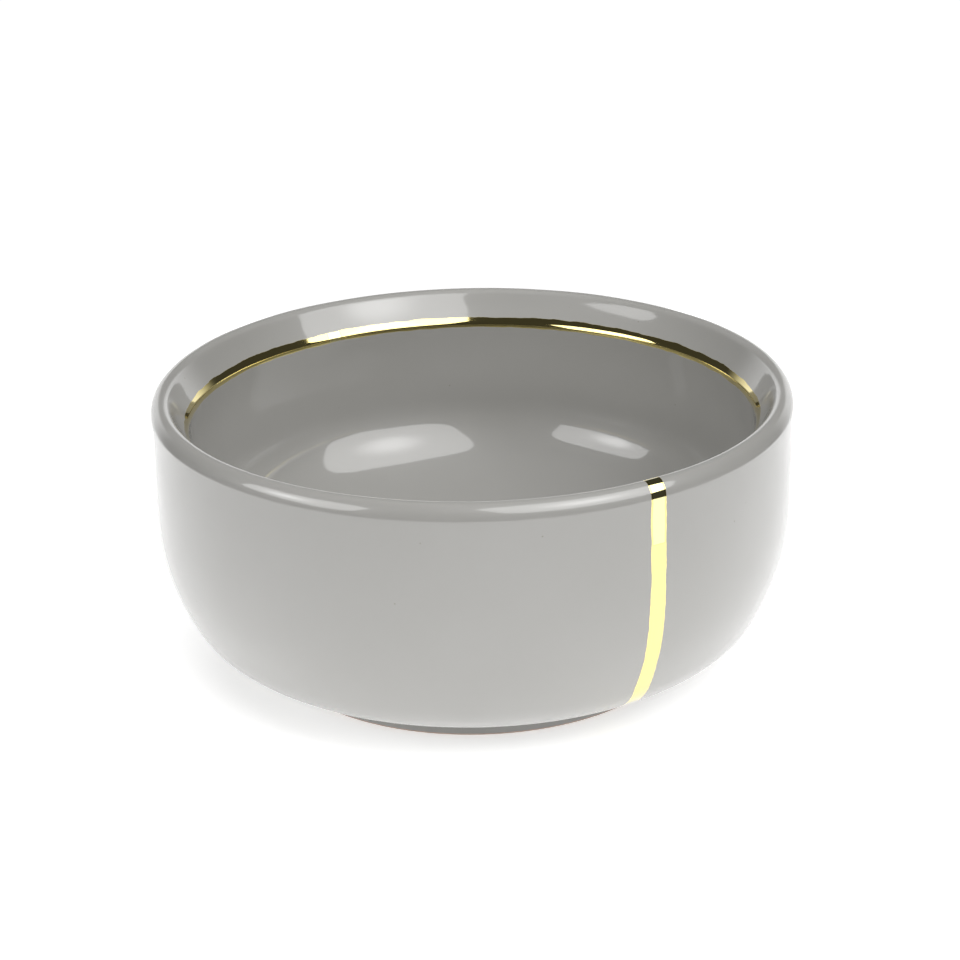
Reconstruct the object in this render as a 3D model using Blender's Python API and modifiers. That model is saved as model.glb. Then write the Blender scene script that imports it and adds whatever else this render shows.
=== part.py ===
"""A deep round bowl of glazed stoneware: a rounded lip, a band that slopes in to a low ridge inside it, a
full side that turns in sharply near the bottom, and a low foot ring. It is turned in one piece.

Metres and degrees, +Z up. The origin is the centre of the foot ring's underside.
"""

import math

import bpy
from mathutils import Vector

# Overall
OUTER_DIAMETER = 0.160
HEIGHT = 0.0711
WIDEST_BELOW_RIM = 0.0192

# Clay
WALL = 0.0097
FLOOR_THICKNESS = 0.0065

# Inside: a quarter of an ellipse leads from the flat floor up into the wall
BASIN_RUN = 0.050
BASIN_RISE = 0.030

# Lip: a crest, and outside it a rounder shoulder that is set in a little from the widest point. The shoulder
# starts where the surface faces this angle above outwards
LIP_RADIUS = 0.0022
SHOULDER_RADIUS = 0.0045
SHOULDER_INSET = 0.0002
SHOULDER_START = 45.0

# Ridge inside the lip, where the sloping band ends. Below it the wall runs back outwards at this angle
RIDGE_INSET = 0.0095
RIDGE_BELOW_RIM = 0.0089
RIDGE_RADIUS = 0.0025
RIDGE_UNDERCUT = 4.0

# Turn, where the side runs in to the underside. The angles are above the horizontal
TURN_INSET = 0.0063
TURN_HEIGHT = 0.0172
TURN_ANGLE = 64.0
BELLY_ANGLE = 15.0

# Foot ring, and the shallow hollow inside it
FOOT_DIAMETER = 0.105
FOOT_HEIGHT = 0.0054
FOOT_WIDTH = 0.0075
FOOT_EDGE_RADIUS = 0.0009
FOOT_FILLET = 0.0010
HOLLOW_DEPTH = 0.0045
HOLLOW_TAPER = 0.0010

# Smoothness
SEGMENTS = 96
CURVE_PULL = 0.4
MERGE_DISTANCE = 0.00001

UP, IN, DOWN = 90.0, 180.0, 270.0


def heading(degrees):
    """The unit vector in the profile's plane at this angle from outwards, turning towards up."""
    angle = math.radians(degrees)
    return Vector((math.cos(angle), math.sin(angle)))


def arc(centre, radius, first, last, steps):
    """Points of an arc round centre, from one angle to another."""
    turn = (last - first) / steps
    return [centre + radius * heading(first + turn * i) for i in range(steps + 1)]


def sweep(start, leaving, end, arriving, steps):
    """Points of a smooth curve that leaves start and arrives at end in the given directions."""
    pull = CURVE_PULL * (end - start).length
    near, far = start + pull * heading(leaving), end - pull * heading(arriving)
    points = []
    for i in range(steps + 1):
        t = i / steps
        s = 1 - t
        points.append(s**3 * start + 3 * s * s * t * near + 3 * s * t * t * far + t**3 * end)
    return points


def basin(floor_edge, wall_foot, steps):
    """Points of the quarter of an ellipse that leaves the floor level and meets the wall upright."""
    reach = wall_foot - floor_edge
    points = []
    for i in range(steps + 1):
        angle = math.pi / 2 * i / steps
        points.append(floor_edge + Vector((reach.x * math.sin(angle), reach.y * (1 - math.cos(angle)))))
    return points


def joined(*stretches):
    """One run of points from several, where each starts at the end of the last or further on."""
    points = list(stretches[0])
    for stretch in stretches[1:]:
        touching = (stretch[0] - points[-1]).length < MERGE_DISTANCE
        points.extend(stretch[1:] if touching else stretch)
    return points


def bowl_profile():
    """Half of the bowl's section, from the middle of the floor over the lip to the middle of the underside."""
    outer_radius = OUTER_DIAMETER / 2
    floor_z = HOLLOW_DEPTH + FLOOR_THICKNESS

    # The lip's crest and the ridge are rounded off, and the band is the straight line that touches both
    lead = (SHOULDER_RADIUS - LIP_RADIUS) * heading(SHOULDER_START)
    shoulder = Vector((outer_radius - SHOULDER_INSET - SHOULDER_RADIUS, HEIGHT - LIP_RADIUS - lead.y))
    crest = shoulder + lead
    ridge = Vector((outer_radius - RIDGE_INSET + RIDGE_RADIUS, HEIGHT - RIDGE_BELOW_RIM))
    across = crest - ridge
    band_angle = math.degrees(
        math.atan2(across.y, across.x) + math.asin((LIP_RADIUS - RIDGE_RADIUS) / across.length)
    )
    band_normal = band_angle + UP
    undercut_normal = IN + RIDGE_UNDERCUT

    widest = Vector((outer_radius, HEIGHT - WIDEST_BELOW_RIM))
    turn = Vector((outer_radius - TURN_INSET, TURN_HEIGHT))
    wall_foot = Vector((outer_radius - WALL, floor_z + BASIN_RISE))
    floor_edge = Vector((wall_foot.x - BASIN_RUN, floor_z))

    foot_outer, foot_inner = FOOT_DIAMETER / 2, FOOT_DIAMETER / 2 - FOOT_WIDTH
    edge = FOOT_EDGE_RADIUS
    belly_end = Vector((foot_outer + FOOT_FILLET, FOOT_HEIGHT))
    foot_top = Vector((foot_outer, FOOT_HEIGHT - FOOT_FILLET))
    hollow_wall = Vector((foot_inner - HOLLOW_TAPER, HOLLOW_DEPTH - FOOT_FILLET))
    hollow_edge = Vector((hollow_wall.x - FOOT_FILLET, HOLLOW_DEPTH))

    ridge_arc = arc(ridge, RIDGE_RADIUS, undercut_normal, band_normal, 4)
    crest_arc = arc(crest, LIP_RADIUS, band_normal, SHOULDER_START, 4)
    shoulder_arc = arc(shoulder, SHOULDER_RADIUS, SHOULDER_START, 0, 4)
    return joined(
        [Vector((0, floor_z))],
        basin(floor_edge, wall_foot, 8),
        sweep(wall_foot, UP, ridge_arc[0], UP + RIDGE_UNDERCUT, 3),
        ridge_arc,
        crest_arc,
        shoulder_arc,
        sweep(shoulder_arc[-1], DOWN, widest, DOWN, 3),
        sweep(widest, DOWN, turn, IN + TURN_ANGLE, 6),
        sweep(turn, IN + TURN_ANGLE, belly_end, IN + BELLY_ANGLE, 5),
        sweep(belly_end, IN + BELLY_ANGLE, foot_top, DOWN, 2),
        arc(Vector((foot_outer - edge, edge)), edge, 0, -90, 3),
        arc(Vector((foot_inner + edge, edge)), edge, -90, -180, 3),
        sweep(hollow_wall, UP, hollow_edge, IN, 2),
        [Vector((0, HOLLOW_DEPTH))],
    )


def glaze_material():
    """Glossy warm grey glaze."""
    material = bpy.data.materials.new("grey_glaze")
    material.use_nodes = True
    surface = material.node_tree.nodes["Principled BSDF"]
    surface.inputs["Base Color"].default_value = (0.27, 0.27, 0.26, 1)
    surface.inputs["Roughness"].default_value = 0.22
    surface.inputs["Metallic"].default_value = 0
    return material


def turned(name, profile, material, collection):
    """An object turned round the Z axis from half of its section."""
    mesh = bpy.data.meshes.new(name)
    points = [(point.x, 0, point.y) for point in profile]
    mesh.from_pydata(points, [(i, i + 1) for i in range(len(points) - 1)], [])
    mesh.materials.append(material)
    body = bpy.data.objects.new(name, mesh)
    collection.objects.link(body)
    screw = body.modifiers.new("turned", "SCREW")
    screw.axis = "Z"
    screw.angle = math.tau
    screw.steps = SEGMENTS
    screw.render_steps = SEGMENTS
    screw.use_merge_vertices = True
    screw.merge_threshold = MERGE_DISTANCE
    screw.use_smooth_shade = True
    return body


for old in list(bpy.data.objects):
    bpy.data.objects.remove(old, do_unlink=True)

bowl_parts = bpy.data.collections.new("ringed_bowl")
bpy.context.scene.collection.children.link(bowl_parts)
turned("bowl", bowl_profile(), glaze_material(), bowl_parts)
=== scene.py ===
"""A deep round bowl of grey glazed stoneware, with a gold ring on the ridge inside its lip and one gold stripe
that comes over the lip and runs down the outside."""

import math

import bpy
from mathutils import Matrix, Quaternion, Vector


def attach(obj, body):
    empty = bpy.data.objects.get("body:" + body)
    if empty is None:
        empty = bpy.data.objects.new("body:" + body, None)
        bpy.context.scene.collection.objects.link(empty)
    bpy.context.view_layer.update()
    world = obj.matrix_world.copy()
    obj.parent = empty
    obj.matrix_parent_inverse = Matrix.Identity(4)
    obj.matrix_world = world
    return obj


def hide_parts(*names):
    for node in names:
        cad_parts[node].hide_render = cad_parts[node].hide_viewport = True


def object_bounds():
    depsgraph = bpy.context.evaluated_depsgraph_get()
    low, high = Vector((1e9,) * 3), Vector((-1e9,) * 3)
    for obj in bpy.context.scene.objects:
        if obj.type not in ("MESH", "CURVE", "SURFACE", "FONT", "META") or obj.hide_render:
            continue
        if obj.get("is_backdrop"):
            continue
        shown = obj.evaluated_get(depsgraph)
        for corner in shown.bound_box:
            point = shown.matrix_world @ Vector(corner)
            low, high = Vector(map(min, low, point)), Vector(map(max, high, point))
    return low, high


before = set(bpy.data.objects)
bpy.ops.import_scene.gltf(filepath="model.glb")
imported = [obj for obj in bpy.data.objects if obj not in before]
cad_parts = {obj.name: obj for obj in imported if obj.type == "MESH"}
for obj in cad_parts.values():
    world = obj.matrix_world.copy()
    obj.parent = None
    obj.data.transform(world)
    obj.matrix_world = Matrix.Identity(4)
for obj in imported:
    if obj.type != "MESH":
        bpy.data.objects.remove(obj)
cad_low, cad_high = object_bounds()

MM = 0.001

# The clay body. The real bowl is one heavy piece of stoneware, turned and then smoothed: a rounded lip, a band
# that slopes in to a low ridge, a round inside, and a side that turns in sharply to a low foot ring.
# It is spun here from half of its section, fine enough for clean reflections in the glaze.

LIP_RADIUS = 2.2 * MM
SHOULDER_RADIUS = 4.5 * MM
SHOULDER_INSET = 0.2 * MM
SHOULDER_START = 45.0
RIDGE_INSET = 9.5 * MM
RIDGE_BELOW_RIM = 8.9 * MM
RIDGE_RADIUS = 2.5 * MM
RIDGE_UNDERCUT = 4.0
BAND_DISH = 3.0
WIDEST_BELOW_RIM = 19.2 * MM
WALL = 9.7 * MM
FLOOR_HEIGHT = 11.0 * MM
BASIN_RUN = 50.0 * MM
BASIN_RISE = 30.0 * MM
TURN_INSET = 6.3 * MM
TURN_HEIGHT = 17.2 * MM
TURN_ANGLE = 64.0
BELLY_ANGLE = 15.0
FOOT_RADIUS = 52.5 * MM
FOOT_HEIGHT = 5.4 * MM
FOOT_WIDTH = 7.5 * MM
FOOT_EDGE_RADIUS = 0.9 * MM
FOOT_FILLET = 1.0 * MM
HOLLOW_DEPTH = 4.5 * MM
HOLLOW_TAPER = 1.0 * MM

SPIN_STEPS = 288
CURVE_PULL = 0.4
SAME_POINT = 0.001 * MM
UP, IN, DOWN = 90.0, 180.0, 270.0


def heading(degrees):
    """The unit vector in the section's plane at this angle from outwards, turning towards up."""
    angle = math.radians(degrees)
    return Vector((math.cos(angle), math.sin(angle)))


def arc(centre, radius, first, last, steps):
    """Points of an arc round centre, from one angle to another."""
    turn = (last - first) / steps
    return [centre + radius * heading(first + turn * i) for i in range(steps + 1)]


def sweep(start, leaving, end, arriving, steps):
    """Points of a smooth curve that leaves start and arrives at end in the given directions."""
    pull = CURVE_PULL * (end - start).length
    near, far = start + pull * heading(leaving), end - pull * heading(arriving)
    points = []
    for i in range(steps + 1):
        t = i / steps
        s = 1 - t
        points.append(s**3 * start + 3 * s * s * t * near + 3 * s * t * t * far + t**3 * end)
    return points


def basin(floor_edge, wall_foot, steps):
    """Points of the quarter of an ellipse that leaves the floor level and meets the wall upright."""
    reach = wall_foot - floor_edge
    points = []
    for i in range(steps + 1):
        angle = math.pi / 2 * i / steps
        points.append(floor_edge + Vector((reach.x * math.sin(angle), reach.y * (1 - math.cos(angle)))))
    return points


def straight(start, end, steps):
    """Points along a straight line, both ends included."""
    return [start.lerp(end, i / steps) for i in range(steps + 1)]


def bowl_section():
    """Half of the section, from the middle of the floor over the lip to the middle of the underside."""
    outer_radius = (cad_high.x - cad_low.x) / 2
    height = cad_high.z
    lead = (SHOULDER_RADIUS - LIP_RADIUS) * heading(SHOULDER_START)
    shoulder = Vector((outer_radius - SHOULDER_INSET - SHOULDER_RADIUS, height - LIP_RADIUS - lead.y))
    crest = shoulder + lead
    ridge = Vector((outer_radius - RIDGE_INSET + RIDGE_RADIUS, height - RIDGE_BELOW_RIM))
    across = crest - ridge
    band_slope = math.atan2(across.y, across.x) + math.asin((LIP_RADIUS - RIDGE_RADIUS) / across.length)
    band = math.degrees(band_slope)

    widest = Vector((outer_radius, height - WIDEST_BELOW_RIM))
    turn = Vector((outer_radius - TURN_INSET, TURN_HEIGHT))
    wall_foot = Vector((outer_radius - WALL, FLOOR_HEIGHT + BASIN_RISE))
    floor_edge = Vector((wall_foot.x - BASIN_RUN, FLOOR_HEIGHT))
    foot_inner = FOOT_RADIUS - FOOT_WIDTH
    edge = FOOT_EDGE_RADIUS
    belly_end = Vector((FOOT_RADIUS + FOOT_FILLET, FOOT_HEIGHT))
    foot_top = Vector((FOOT_RADIUS, FOOT_HEIGHT - FOOT_FILLET))
    hollow_wall = Vector((foot_inner - HOLLOW_TAPER, HOLLOW_DEPTH - FOOT_FILLET))
    hollow_edge = Vector((hollow_wall.x - FOOT_FILLET, HOLLOW_DEPTH))

    # The sponge left the band a little hollow, so it starts flatter and ends steeper than a straight one
    ridge_arc = arc(ridge, RIDGE_RADIUS, IN + RIDGE_UNDERCUT, UP + band - BAND_DISH, 14)
    crest_arc = arc(crest, LIP_RADIUS, UP + band + BAND_DISH, SHOULDER_START, 16)
    shoulder_arc = arc(shoulder, SHOULDER_RADIUS, SHOULDER_START, 0, 12)
    stretches = [
        straight(Vector((0, FLOOR_HEIGHT)), floor_edge, 5),
        basin(floor_edge, wall_foot, 30),
        sweep(wall_foot, UP, ridge_arc[0], UP + RIDGE_UNDERCUT, 10),
        ridge_arc,
        sweep(ridge_arc[-1], band - BAND_DISH, crest_arc[0], band + BAND_DISH, 8),
        crest_arc,
        shoulder_arc,
        sweep(shoulder_arc[-1], DOWN, widest, DOWN, 10),
        sweep(widest, DOWN, turn, IN + TURN_ANGLE, 20),
        sweep(turn, IN + TURN_ANGLE, belly_end, IN + BELLY_ANGLE, 18),
        sweep(belly_end, IN + BELLY_ANGLE, foot_top, DOWN, 6),
        arc(Vector((FOOT_RADIUS - edge, edge)), edge, 0, -90, 6),
        arc(Vector((foot_inner + edge, edge)), edge, -90, -180, 6),
        sweep(hollow_wall, UP, hollow_edge, IN, 6),
        straight(hollow_edge, Vector((0, HOLLOW_DEPTH)), 5),
    ]
    points = [stretches[0][0]]
    for stretch in stretches:
        points += [point for point in stretch if (point - points[-1]).length > SAME_POINT]
    return points


section = bowl_section()
bpy.ops.object.select_all(action="DESELECT")
bpy.ops.mesh.primitive_plane_add(size=1 * MM)
bowl = bpy.context.object
bowl.name = "glazed_bowl"
bowl.data.name = "glazed_bowl"
bpy.ops.object.mode_set(mode="EDIT")
bpy.ops.mesh.merge(type="CENTER")
bpy.ops.transform.translate(value=(section[0].x, 0, section[0].y))
for here, there in zip(section, section[1:]):
    stride = there - here
    bpy.ops.mesh.extrude_region_move(TRANSFORM_OT_translate={"value": (stride.x, 0, stride.y)})
bpy.ops.mesh.select_all(action="SELECT")
bpy.ops.mesh.spin(steps=SPIN_STEPS, angle=math.tau, center=(0, 0, 0), axis=(0, 0, 1))
bpy.ops.mesh.select_all(action="SELECT")
bpy.ops.mesh.remove_doubles(threshold=SAME_POINT)
bpy.ops.mesh.normals_make_consistent(inside=False)
bpy.ops.object.mode_set(mode="OBJECT")
bpy.ops.object.shade_smooth()

# The hand that smoothed the clay left it a little uneven, all over but where it stands. The glaze shows it
# as edges of reflections that waver.
UNEVENNESS = 0.22 * MM
UNEVENNESS_LENGTH = 26 * MM
FLAT_UP_TO = 2.0 * MM

uneven = bowl.vertex_groups.new(name="uneven")
for vertex in bowl.data.vertices:
    share = min(1, max(0, vertex.co.z / FLAT_UP_TO - 0.5))
    uneven.add([vertex.index], share, "REPLACE")
waver = bpy.data.textures.new("waver", "CLOUDS")
waver.noise_scale = UNEVENNESS_LENGTH
waver.noise_depth = 1
ripple = bowl.modifiers.new("hand_waver", "DISPLACE")
ripple.texture = waver
ripple.texture_coords = "LOCAL"
ripple.vertex_group = "uneven"
ripple.strength = UNEVENNESS
bpy.ops.object.modifier_apply(modifier="hand_waver")
bowl.vertex_groups.clear()


# The glaze and the gold. The glaze is an opaque grey stoneware glaze under a clear gloss: crisp reflections with
# edges that waver, over a broad soft sheen, with faint clouding and a few specks. The gold is liquid lustre,
# brushed on over the glaze and fired again: a skin of real metal that mirrors what stands around.

GLAZE_PALE = "#93928f"
GLAZE_DEEP = "#8c8b87"
GLAZE_IOR = 1.5
GLOSS_IOR = 1.6
GLOSS_ROUGHNESS = 0.06
SPECK = "#6d675e"
GOLD_ONE_COAT = "#e3d285"
GOLD_TWO_COATS = "#e6dc9c"
GOLD_LAP = "#cdb968"

STRIPE_AZIMUTH = math.radians(31.5)
STRIPE_WIDTH = 4.3 * MM
STRIPE_LOWEST = 7.5 * MM
SECOND_COAT_WIDTH = 3.7 * MM
SECOND_COAT_LOWEST = 56.3 * MM
LAP_WIDTH = 0.25 * MM
RING_LOWEST = 61.95 * MM
RING_HIGHEST = 64.5 * MM
INSIDE_RADIUS = 76.9 * MM
PAINT_EDGE = 0.05 * MM


def srgb(code):
    """A hex colour turned into linear red, green, blue and alpha."""
    channels = [int(code[i : i + 2], 16) / 255 for i in (1, 3, 5)]
    linear = [c / 12.92 if c <= 0.04045 else ((c + 0.055) / 1.055) ** 2.4 for c in channels]
    return (*linear, 1.0)


def node(tree, kind, settings, inputs, output=0):
    """Adds a node and gives back one of its outputs. Inputs are values, or other nodes' outputs to link."""
    made = tree.nodes.new("ShaderNode" + kind)
    for name, value in settings.items():
        setattr(made, name, value)
    for name, value in inputs.items():
        if isinstance(value, bpy.types.NodeSocket):
            tree.links.new(value, made.inputs[name])
        else:
            made.inputs[name].default_value = value
    return made.outputs[output]


glaze = bpy.data.materials.new("glossy_grey_glaze_with_gold_lustre")
glaze.use_nodes = True
tree = glaze.node_tree
surface = tree.nodes["Principled BSDF"]

ADD = {"operation": "ADD"}
TIMES = {"operation": "MULTIPLY"}
LARGER = {"operation": "MAXIMUM"}
SMALLER = {"operation": "MINIMUM"}
SMOOTH = {"interpolation_type": "SMOOTHSTEP"}
COLOURS = {"data_type": "RGBA"}

place = node(tree, "TexCoord", {}, {}, "Object")
height = node(tree, "SeparateXYZ", {}, {0: place}, "Z")
level = node(tree, "VectorMath", TIMES, {0: place, 1: (1, 1, 0)})
radius = node(tree, "VectorMath", {"operation": "LENGTH"}, {0: level}, "Value")
to_stripe = (math.sin(STRIPE_AZIMUTH), -math.cos(STRIPE_AZIMUTH), 0)
past_stripe = (math.cos(STRIPE_AZIMUTH), math.sin(STRIPE_AZIMUTH), 0)
forward = node(tree, "VectorMath", {"operation": "DOT_PRODUCT"}, {0: place, 1: to_stripe}, "Value")
sideways = node(tree, "VectorMath", {"operation": "DOT_PRODUCT"}, {0: place, 1: past_stripe}, "Value")

# The brush's wobble: about 0.2 mm either way, in lengths of about 6 mm
brush = node(tree, "TexNoise", {}, {"Vector": place, "Scale": 160.0, "Detail": 3.0})
wobble = node(tree, "MapRange", {}, {0: brush, 1: 0.0, 2: 1.0, 3: -0.45 * MM, 4: 0.45 * MM})
off_middle = node(tree, "Math", {"operation": "ABSOLUTE"}, {0: sideways})
off_middle = node(tree, "Math", ADD, {0: off_middle, 1: wobble})
painted_height = node(tree, "Math", ADD, {0: height, 1: wobble})

# The stripe runs up the outside and over the lip to the ring. Outside is what lies further out than a line that
# climbs between the two faces of the wall
between_faces = node(tree, "Math", {"operation": "MULTIPLY_ADD"}, {0: height, 1: 0.55, 2: 52 * MM})
between_faces = node(tree, "Math", SMALLER, {0: between_faces, 1: 75 * MM})
outside = node(tree, "Math", {"operation": "GREATER_THAN"}, {0: radius, 1: between_faces})
over_lip = node(tree, "Math", {"operation": "GREATER_THAN"}, {0: height, 1: RING_LOWEST})
outside = node(tree, "Math", LARGER, {0: outside, 1: over_lip})
in_front = node(tree, "Math", {"operation": "GREATER_THAN"}, {0: forward, 1: 0.0})
half = STRIPE_WIDTH / 2
edges = {1: half - PAINT_EDGE, 2: half + PAINT_EDGE, 3: 1.0, 4: 0.0}
stripe = node(tree, "MapRange", SMOOTH, {0: off_middle, **edges})
ends = {1: STRIPE_LOWEST - PAINT_EDGE, 2: STRIPE_LOWEST + PAINT_EDGE}
above_end = node(tree, "MapRange", SMOOTH, {0: painted_height, **ends})
for limit in (above_end, outside, in_front):
    stripe = node(tree, "Math", TIMES, {0: stripe, 1: limit})

# The ring lies on the ridge
lower_edge = {1: RING_LOWEST - PAINT_EDGE, 2: RING_LOWEST + PAINT_EDGE}
upper_edge = {1: RING_HIGHEST - PAINT_EDGE, 2: RING_HIGHEST + PAINT_EDGE, 3: 1.0, 4: 0.0}
ring = node(tree, "MapRange", SMOOTH, {0: painted_height, **lower_edge})
below_top = node(tree, "MapRange", SMOOTH, {0: painted_height, **upper_edge})
inside = node(tree, "Math", {"operation": "LESS_THAN"}, {0: radius, 1: INSIDE_RADIUS})
for limit in (below_top, inside):
    ring = node(tree, "Math", TIMES, {0: ring, 1: limit})
gold = node(tree, "Math", LARGER, {0: stripe, 1: ring})

# A second, narrower coat on the top of the stripe. Its border shows as a faint deeper line
half = SECOND_COAT_WIDTH / 2
edges = {1: half - LAP_WIDTH, 2: half + LAP_WIDTH, 3: 1.0, 4: 0.0}
second = node(tree, "MapRange", SMOOTH, {0: off_middle, **edges})
ends = {1: SECOND_COAT_LOWEST - LAP_WIDTH, 2: SECOND_COAT_LOWEST + LAP_WIDTH}
above_lap = node(tree, "MapRange", SMOOTH, {0: painted_height, **ends})
second = node(tree, "Math", TIMES, {0: second, 1: above_lap})
lap = node(tree, "Math", {"operation": "PINGPONG"}, {0: second, 1: 0.5})
lap = node(tree, "Math", TIMES, {0: lap, 1: 2.0})

gold_colour = node(tree, "Mix", COLOURS, {0: second, 6: srgb(GOLD_ONE_COAT), 7: srgb(GOLD_TWO_COATS)}, 2)
gold_colour = node(tree, "Mix", COLOURS, {0: lap, 6: gold_colour, 7: srgb(GOLD_LAP)}, 2)

# Clouding in patches of about 35 mm, and specks of 0.4 mm, some 30 of them in all
clouding = node(tree, "TexNoise", {}, {"Vector": place, "Scale": 28.0, "Detail": 3.0})
body_colour = node(tree, "Mix", COLOURS, {0: clouding, 6: srgb(GLAZE_DEEP), 7: srgb(GLAZE_PALE)}, 2)
grains = tree.nodes.new("ShaderNodeTexVoronoi")
grains.inputs["Scale"].default_value = 330.0
tree.links.new(place, grains.inputs["Vector"])
chosen = node(tree, "SeparateXYZ", {}, {0: grains.outputs["Color"]}, "X")
chosen = node(tree, "Math", {"operation": "GREATER_THAN"}, {0: chosen, 1: 0.95})
speck = node(tree, "MapRange", SMOOTH, {0: grains.outputs["Distance"], 1: 0.04, 2: 0.08, 3: 0.7, 4: 0.0})
speck = node(tree, "Math", TIMES, {0: speck, 1: chosen})
body_colour = node(tree, "Mix", COLOURS, {0: speck, 6: body_colour, 7: srgb(SPECK)}, 2)

colour = node(tree, "Mix", COLOURS, {0: gold, 6: body_colour, 7: gold_colour}, 2)

patches = node(tree, "TexNoise", {}, {"Vector": place, "Scale": 90.0, "Detail": 2.0})
glaze_gloss = node(tree, "MapRange", {}, {0: patches, 3: 0.42, 4: 0.50})
gloss = node(tree, "Mix", {}, {0: gold, 2: glaze_gloss, 3: 0.06})

# The glaze ran into shallow ripples about 7 mm long, 0.012 mm deep, under a fine orange peel
ripples = node(tree, "TexNoise", {}, {"Vector": place, "Scale": 140.0, "Detail": 1.0})
peel = node(tree, "TexNoise", {}, {"Vector": place, "Scale": 700.0, "Detail": 0.0})
relief = node(tree, "Math", {"operation": "MULTIPLY_ADD"}, {0: peel, 1: 0.06, 2: ripples})
bumps = node(tree, "Bump", {}, {"Height": relief, "Distance": 0.012 * MM, "Strength": 1.0}, "Normal")

tree.links.new(colour, surface.inputs["Base Color"])
tree.links.new(gold, surface.inputs["Metallic"])
tree.links.new(gloss, surface.inputs["Roughness"])
tree.links.new(bumps, surface.inputs["Normal"])
surface.inputs["IOR"].default_value = GLAZE_IOR
surface.inputs["Coat Weight"].default_value = 1.0
surface.inputs["Coat IOR"].default_value = GLOSS_IOR
surface.inputs["Coat Roughness"].default_value = GLOSS_ROUGHNESS
tree.links.new(bumps, surface.inputs["Coat Normal"])

# The foot was wiped clean of glaze where it stands, and shows the bare, faintly pink stoneware: dry and matt, with
# a grain of fine grog
BARE_CLAY = "#b9a89d"
BARE_CLAY_DARK = "#a08e83"
GLAZE_ENDS = 0.6 * MM

stoneware = bpy.data.materials.new("bare_stoneware")
stoneware.use_nodes = True
clay_tree = stoneware.node_tree
clay_surface = clay_tree.nodes["Principled BSDF"]
clay_place = node(clay_tree, "TexCoord", {}, {}, "Object")
grog = node(clay_tree, "TexNoise", {}, {"Vector": clay_place, "Scale": 1200.0, "Detail": 3.0})
clay_colour = node(clay_tree, "Mix", COLOURS, {0: grog, 6: srgb(BARE_CLAY_DARK), 7: srgb(BARE_CLAY)}, 2)
grain = node(clay_tree, "Bump", {}, {"Height": grog, "Distance": 0.08 * MM, "Strength": 1.0}, "Normal")
clay_tree.links.new(clay_colour, clay_surface.inputs["Base Color"])
clay_tree.links.new(grain, clay_surface.inputs["Normal"])
clay_surface.inputs["Roughness"].default_value = 0.85

bowl.data.materials.clear()
bowl.data.materials.append(glaze)
bowl.data.materials.append(stoneware)
for face in bowl.data.polygons:
    face.material_index = 1 if face.center.z < GLAZE_ENDS else 0
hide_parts("bowl")
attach(bowl, "root")

# The studio. The bowl stands on a round light table of milky acrylic, in a dark room. Two large soft boxes stand
# in front of it, one on each side, the ceiling gives a little light back, and a lit white sweep is low behind.

TABLE_RADIUS = 280 * MM
TABLE_WHITE = "#f2f2f2"
TABLE_GLOW = 0.45

bpy.ops.object.select_all(action="DESELECT")
bpy.ops.mesh.primitive_circle_add(vertices=128, radius=TABLE_RADIUS, fill_type="NGON", location=(0, 0, -0.1 * MM))
table = bpy.context.object
table.name = "light_table"
acrylic = bpy.data.materials.new("milky_acrylic")
acrylic.use_nodes = True
acrylic_inputs = acrylic.node_tree.nodes["Principled BSDF"].inputs
acrylic_inputs["Base Color"].default_value = srgb(TABLE_WHITE)
acrylic_inputs["Roughness"].default_value = 0.8
acrylic_inputs["Emission Color"].default_value = (1, 1, 1, 1)
acrylic_inputs["Emission Strength"].default_value = TABLE_GLOW
table.data.materials.append(acrylic)
table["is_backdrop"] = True


def soft_box(name, azimuth, elevation, distance, size, turn, radiance, core):
    """A soft box that looks at the bowl from this far round to the right, with rounded corners and a bright core."""
    a, e = math.radians(azimuth), math.radians(elevation)
    towards = Vector((math.sin(a) * math.cos(e), -math.cos(a) * math.cos(e), math.sin(e)))
    bpy.ops.object.light_add(type="AREA", location=towards * distance + Vector((0, 0, cad_high.z / 2)))
    lamp = bpy.context.object
    lamp.name = name
    facing = towards.to_track_quat("Z", "Y")
    facing = facing @ Quaternion((0, 0, 1), math.radians(turn[1])) @ Quaternion((0, 1, 0), math.radians(turn[0]))
    lamp.rotation_euler = facing.to_euler()
    lamp.data.shape = "RECTANGLE"
    lamp.data.size, lamp.data.size_y = size
    lamp.data.energy = radiance * math.pi * size[0] * size[1]
    lamp.data.use_nodes = True
    lamp_tree = lamp.data.node_tree
    where = node(lamp_tree, "NewGeometry", {}, {}, "Parametric")
    off = node(lamp_tree, "VectorMath", {"operation": "SUBTRACT"}, {0: where, 1: (0.5, 0.5, 0)})
    from_core = node(lamp_tree, "VectorMath", {"operation": "LENGTH"}, {0: off}, "Value")
    bright = node(lamp_tree, "MapRange", SMOOTH, {0: from_core, 1: 0.04, 2: 0.30, 3: 1 + core, 4: 1.0})
    squared = node(lamp_tree, "VectorMath", TIMES, {0: off, 1: off})
    cornered = node(lamp_tree, "VectorMath", TIMES, {0: squared, 1: squared})
    cornered = node(lamp_tree, "VectorMath", {"operation": "DOT_PRODUCT"}, {0: cornered, 1: (16, 16, 0)}, "Value")
    inside_box = node(lamp_tree, "Math", {"operation": "LESS_THAN"}, {0: cornered, 1: 1.0})
    bright = node(lamp_tree, "Math", TIMES, {0: bright, 1: inside_box})
    lamp_tree.links.new(bright, lamp_tree.nodes["Emission"].inputs["Strength"])
    return lamp


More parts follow.
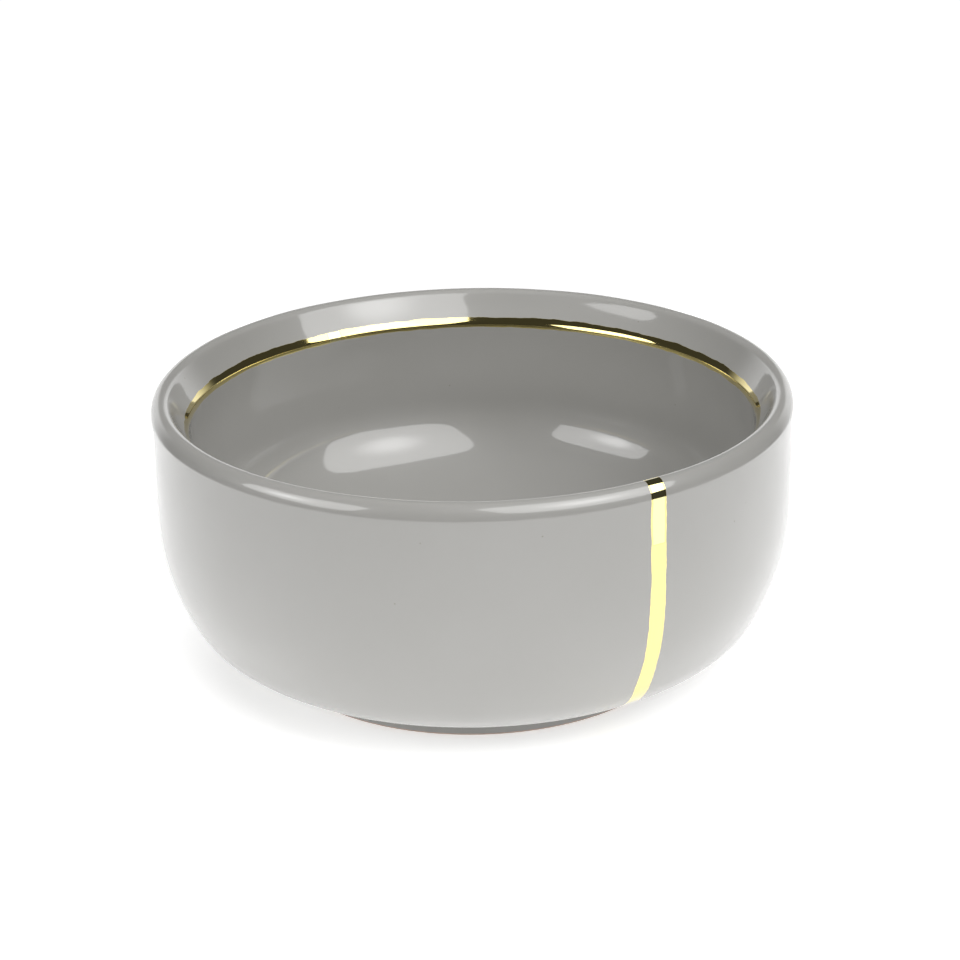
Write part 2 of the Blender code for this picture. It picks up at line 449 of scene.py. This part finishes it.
soft_box("soft_box_right", 43, 40.5, 1.6, (1.75, 1.38), (0, -10), 3.1, 1.0)
soft_box("soft_box_left", -68, 23, 1.6, (1.50, 0.86), (38, 0), 3.1, 1.2)
ceiling = soft_box("ceiling_bounce", 0, 90, 1.3, (1.6, 1.6), (0, 0), 2.0, 0.0)
ceiling.visible_glossy = False

ROOM = 0.05
SWEEP = 1.2
PAGE_WHITE = 1.05

room = bpy.data.worlds.new("room")
room.use_nodes = True
bpy.context.scene.world = room
around = room.node_tree
way = node(around, "TexCoord", {}, {}, "Generated")
behind = node(around, "SeparateXYZ", {}, {0: way}, "Y")
upwards = node(around, "SeparateXYZ", {}, {0: way}, "Z")
behind = node(around, "MapRange", SMOOTH, {0: behind, 1: 0.60, 2: 0.85})
low = node(around, "MapRange", SMOOTH, {0: upwards, 1: 0.22, 2: 0.34, 3: 1.0, 4: 0.0})
sweep_lit = node(around, "Math", TIMES, {0: behind, 1: low})
tone = node(around, "MapRange", {}, {0: sweep_lit, 3: ROOM, 4: SWEEP})
seen = node(around, "LightPath", {}, {}, "Is Camera Ray")
tone = node(around, "Mix", {}, {0: seen, 2: tone, 3: PAGE_WHITE})
around.links.new(tone, around.nodes["Background"].inputs["Color"])
bpy.context.scene.view_settings.view_transform = "Standard"

# The camera looks down on the bowl from the front with a long lens, and leans a degree.

CAMERA_ELEVATION = 23.23
CAMERA_DISTANCE = 662.4 * MM
CAMERA_TARGET = Vector((0, 0, 30.7 * MM))
CAMERA_AIM = Vector((1.63 * MM, 0, 45.1 * MM))
CAMERA_LEAN = -1.03
LENS = 97.52

bpy.ops.object.camera_add()
camera = bpy.context.object
camera.name = "camera"
camera.data.lens = LENS
camera.data.clip_start = 0.01
tilt = math.radians(CAMERA_ELEVATION)
camera.location = CAMERA_TARGET + CAMERA_DISTANCE * Vector((0, -math.cos(tilt), math.sin(tilt)))
gaze = (CAMERA_AIM - camera.location).to_track_quat("-Z", "Y")
camera.rotation_euler = (gaze @ Quaternion((0, 0, 1), math.radians(CAMERA_LEAN))).to_euler()
bpy.context.scene.camera = camera

low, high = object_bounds()
